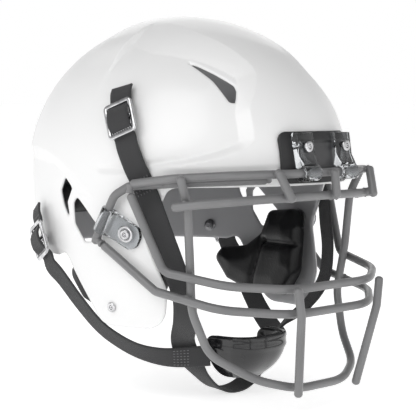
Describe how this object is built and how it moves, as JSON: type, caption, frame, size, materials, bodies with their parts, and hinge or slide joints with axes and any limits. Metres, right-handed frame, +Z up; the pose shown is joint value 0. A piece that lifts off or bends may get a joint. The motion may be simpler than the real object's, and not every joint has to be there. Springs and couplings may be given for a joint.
{
  "type": "american football helmet",
  "caption": "American football helmet with a padded hard shell, swing-up wire facemask on clips, chin cup, buckled chin straps and jaw pads.",
  "frame": {"origin": "centre of the whole helmet's box, on the surface under its lowest point", "axes": "-Y towards the face, +Z up, +X towards the wearer's left; the helmet is its own mirror image across X"},
  "size_m": [0.2574, 0.3301, 0.3209],
  "materials": {
    "shell_gloss": "gloss white polycarbonate, grey-white inside",
    "bumper_rubber": "satin charcoal rubber",
    "mask_coating": "grey dipped vinyl coating on steel wire",
    "clip_clear": "clear smoked polycarbonate",
    "hardware_chrome": "bright plated steel",
    "strap_webbing": "dark woven nylon webbing",
    "pad_black": "black moulded foam skin",
    "cup_shell": "black moulded hard cup"
  },
  "bodies": {
    "helmet": {"shell": "shell_gloss", "front_bumper": "bumper_rubber", "rear_bumper": "bumper_rubber", "top_clip_right": "clip_clear", "top_clip_screw_right": "hardware_chrome", "top_clip_nut_right": "hardware_chrome", "side_clip_socket_right": "hardware_chrome", "jaw_screw_right": "hardware_chrome", "jaw_nut_right": "hardware_chrome", "upper_stud_right": "hardware_chrome", "upper_stud_nut_right": "hardware_chrome", "lower_stud_right": "hardware_chrome", "lower_stud_nut_right": "hardware_chrome", "upper_buckle_right": "hardware_chrome", "lower_buckle_right": "hardware_chrome", "lower_chin_strap_right": "strap_webbing", "jaw_pad_right": "pad_black", "side_pad_right": "pad_black", "top_clip_left": "clip_clear", "top_clip_screw_left": "hardware_chrome", "top_clip_nut_left": "hardware_chrome", "side_clip_socket_left": "hardware_chrome", "jaw_screw_left": "hardware_chrome", "jaw_nut_left": "hardware_chrome", "upper_stud_left": "hardware_chrome", "upper_stud_nut_left": "hardware_chrome", "lower_stud_left": "hardware_chrome", "lower_stud_nut_left": "hardware_chrome", "upper_buckle_left": "hardware_chrome", "lower_buckle_left": "hardware_chrome", "lower_chin_strap_left": "strap_webbing", "jaw_pad_left": "pad_black", "side_pad_left": "pad_black", "upper_chin_strap": "strap_webbing", "chin_cup": "cup_shell", "chin_cup_liner": "pad_black", "front_pad": "pad_black", "rear_pad": "pad_black", "crown_pad": "pad_black"},
    "facemask": {"brow_wire": "mask_coating", "sight_wire": "mask_coating", "upper_jaw_wire": "mask_coating", "lower_jaw_wire": "mask_coating", "cage_wire": "mask_coating", "bridge_wire_centre": "mask_coating", "perimeter_wire_right": "mask_coating", "perimeter_wire_left": "mask_coating", "bridge_wire_right": "mask_coating", "bridge_wire_left": "mask_coating", "chin_strut_right": "mask_coating", "chin_strut_left": "mask_coating", "side_clip_right": "clip_clear", "side_clip_left": "clip_clear"},
    "side_screw_right": {"side_clip_screw_right": "hardware_chrome"},
    "side_screw_left": {"side_clip_screw_left": "hardware_chrome"}
  },
  "joints": [
    {"name": "facemask_swing", "type": "hinge", "parent": "helmet", "child": "facemask", "pos_m": [0, -0.1476, 0.1929], "axis": [-1, 0, 0], "range_deg": [0, 90]},
    {"name": "quarter_turn_right", "type": "hinge", "parent": "facemask", "child": "side_screw_right", "pos_m": [-0.1161, -0.03258, 0.14288], "axis": [-0.9578, -0.2472, -0.1466], "range_deg": [0, 90]},
    {"name": "quarter_turn_left", "type": "hinge", "parent": "facemask", "child": "side_screw_left", "pos_m": [0.1161, -0.03258, 0.14288], "axis": [0.9578, -0.2472, -0.1466], "range_deg": [0, 90]}
  ]
}
